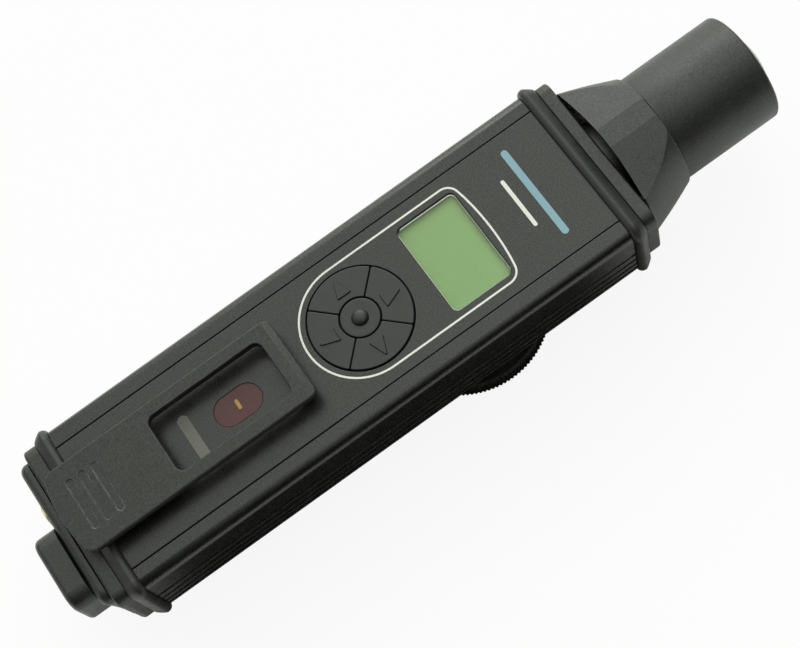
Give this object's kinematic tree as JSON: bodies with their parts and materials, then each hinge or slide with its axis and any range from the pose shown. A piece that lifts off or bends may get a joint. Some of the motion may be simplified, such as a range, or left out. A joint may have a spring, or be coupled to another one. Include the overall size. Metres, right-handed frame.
{
  "type": "handheld radiation survey meter",
  "caption": "Handheld radiation survey meter: extruded case, display, four-way keypad, belt clip, conical collar with round detector head, knurled rear cover and battery cover.",
  "frame": {"origin": "centre of the rear cover's flat back face", "axes": "+X to the user's right, +Y along the case towards the detector head, +Z out of the display face"},
  "size_m": [0.0618, 0.2598, 0.0554],
  "materials": {
    "case": "black powder coat, fine grain",
    "panel": "fine matte grain",
    "cap": "moulded, fine matte grain",
    "rubber": "smooth moulded rubber",
    "head": "black powder coat, fine grain",
    "dome": "pale grey-green, satin",
    "key": "matte silicone",
    "lcd": "green reflective display",
    "clear": "clear",
    "red": "dark red, translucent",
    "label": "printed foil, blank",
    "steel": "plain",
    "brass": "plain",
    "board": "solder mask",
    "crystal": "polished, reflector wrapped",
    "black_part": "moulded",
    "cell": "plain sleeve",
    "tin": "thin metal can"
  },
  "bodies": {
    "case": {"body_shell": "case", "front_panel": "panel", "top_end_cap": "cap", "bottom_end_cap": "cap", "rear_boss": "cap", "top_bumper": "rubber", "bottom_bumper": "rubber", "keypad_mat": "rubber", "head_seal": "rubber", "rear_seal": "rubber", "detector_collar": "head", "detector_tube": "head", "detector_dome": "dome", "lcd_module": "lcd", "lcd_window": "clear", "ir_window": "red", "rating_label": "label", "clip_bracket": "steel", "clip_pin": "steel", "clip_spring": "steel", "vibration_motor": "steel", "top_screw_1": "steel", "top_screw_2": "steel", "top_screw_3": "steel", "top_screw_4": "steel", "bottom_screw_1": "steel", "bottom_screw_2": "steel", "bottom_screw_3": "steel", "bottom_screw_4": "steel", "rear_screw_1": "steel", "rear_screw_2": "steel", "rear_screw_3": "steel", "rear_screw_4": "steel", "battery_contact": "brass", "flex_cable": "brass", "main_board": "board", "preamp_board": "board", "scintillator": "crystal", "ir_module": "black_part", "photodiode": "black_part", "battery_tube": "black_part", "buzzer": "black_part", "battery": "cell", "gm_tube": "tin"},
    "button_up": {"button_up": "key"},
    "button_down": {"button_down": "key"},
    "button_left": {"button_left": "key"},
    "button_right": {"button_right": "key"},
    "button_centre": {"button_centre": "key"},
    "belt_clip": {"belt_clip": "cap"},
    "battery_cover": {"battery_cover": "cap", "contact_screw": "brass", "battery_spring": "steel"},
    "cover_latch": {"cover_latch": "cap"},
    "rear_filter": {"filter_disc": "steel"},
    "rear_cap": {"rear_cap": "cap"}
  },
  "joints": [
    {"name": "press_up", "type": "slide", "parent": "case", "child": "button_up", "axis": [0, 0, -1], "range_m": [0, 0.0005], "stiffness_N_per_m": 80, "springref_m": -0.002},
    {"name": "press_down", "type": "slide", "parent": "case", "child": "button_down", "axis": [0, 0, -1], "range_m": [0, 0.0005], "stiffness_N_per_m": 80, "springref_m": -0.002},
    {"name": "press_left", "type": "slide", "parent": "case", "child": "button_left", "axis": [0, 0, -1], "range_m": [0, 0.0005], "stiffness_N_per_m": 80, "springref_m": -0.002},
    {"name": "press_right", "type": "slide", "parent": "case", "child": "button_right", "axis": [0, 0, -1], "range_m": [0, 0.0005], "stiffness_N_per_m": 80, "springref_m": -0.002},
    {"name": "press_centre", "type": "slide", "parent": "case", "child": "button_centre", "axis": [0, 0, -1], "range_m": [0, 0.0005], "stiffness_N_per_m": 80, "springref_m": -0.002},
    {"name": "clip_open", "type": "hinge", "parent": "case", "child": "belt_clip", "pos_m": [0, -0.0539, 0.0503], "axis": [-1, 0, 0], "range_deg": [0, 12], "stiffness_Nm_per_rad": 0.3, "springref_deg": -8.59},
    {"name": "cover_pull", "type": "slide", "parent": "case", "child": "battery_cover", "axis": [0, -1, 0], "range_m": [0, 0.03]},
    {"name": "latch_turn", "type": "hinge", "parent": "battery_cover", "child": "cover_latch", "pos_m": [0.0085, -0.1376, 0.0351], "axis": [0, -1, 0], "range_deg": [0, 90]},
    {"name": "rear_lift", "type": "slide", "parent": "case", "child": "rear_filter", "axis": [0, 0, -1], "range_m": [0, 0.0015]},
    {"name": "rear_turn", "type": "hinge", "parent": "rear_filter", "child": "rear_cap", "pos_m": [0, 0, 0], "axis": [0, 0, -1], "range_deg": [0, 360]}
  ],
  "couplings": [
    {"joint": "rear_turn", "follows": "rear_lift", "rad_per_m": 4188.8}
  ]
}
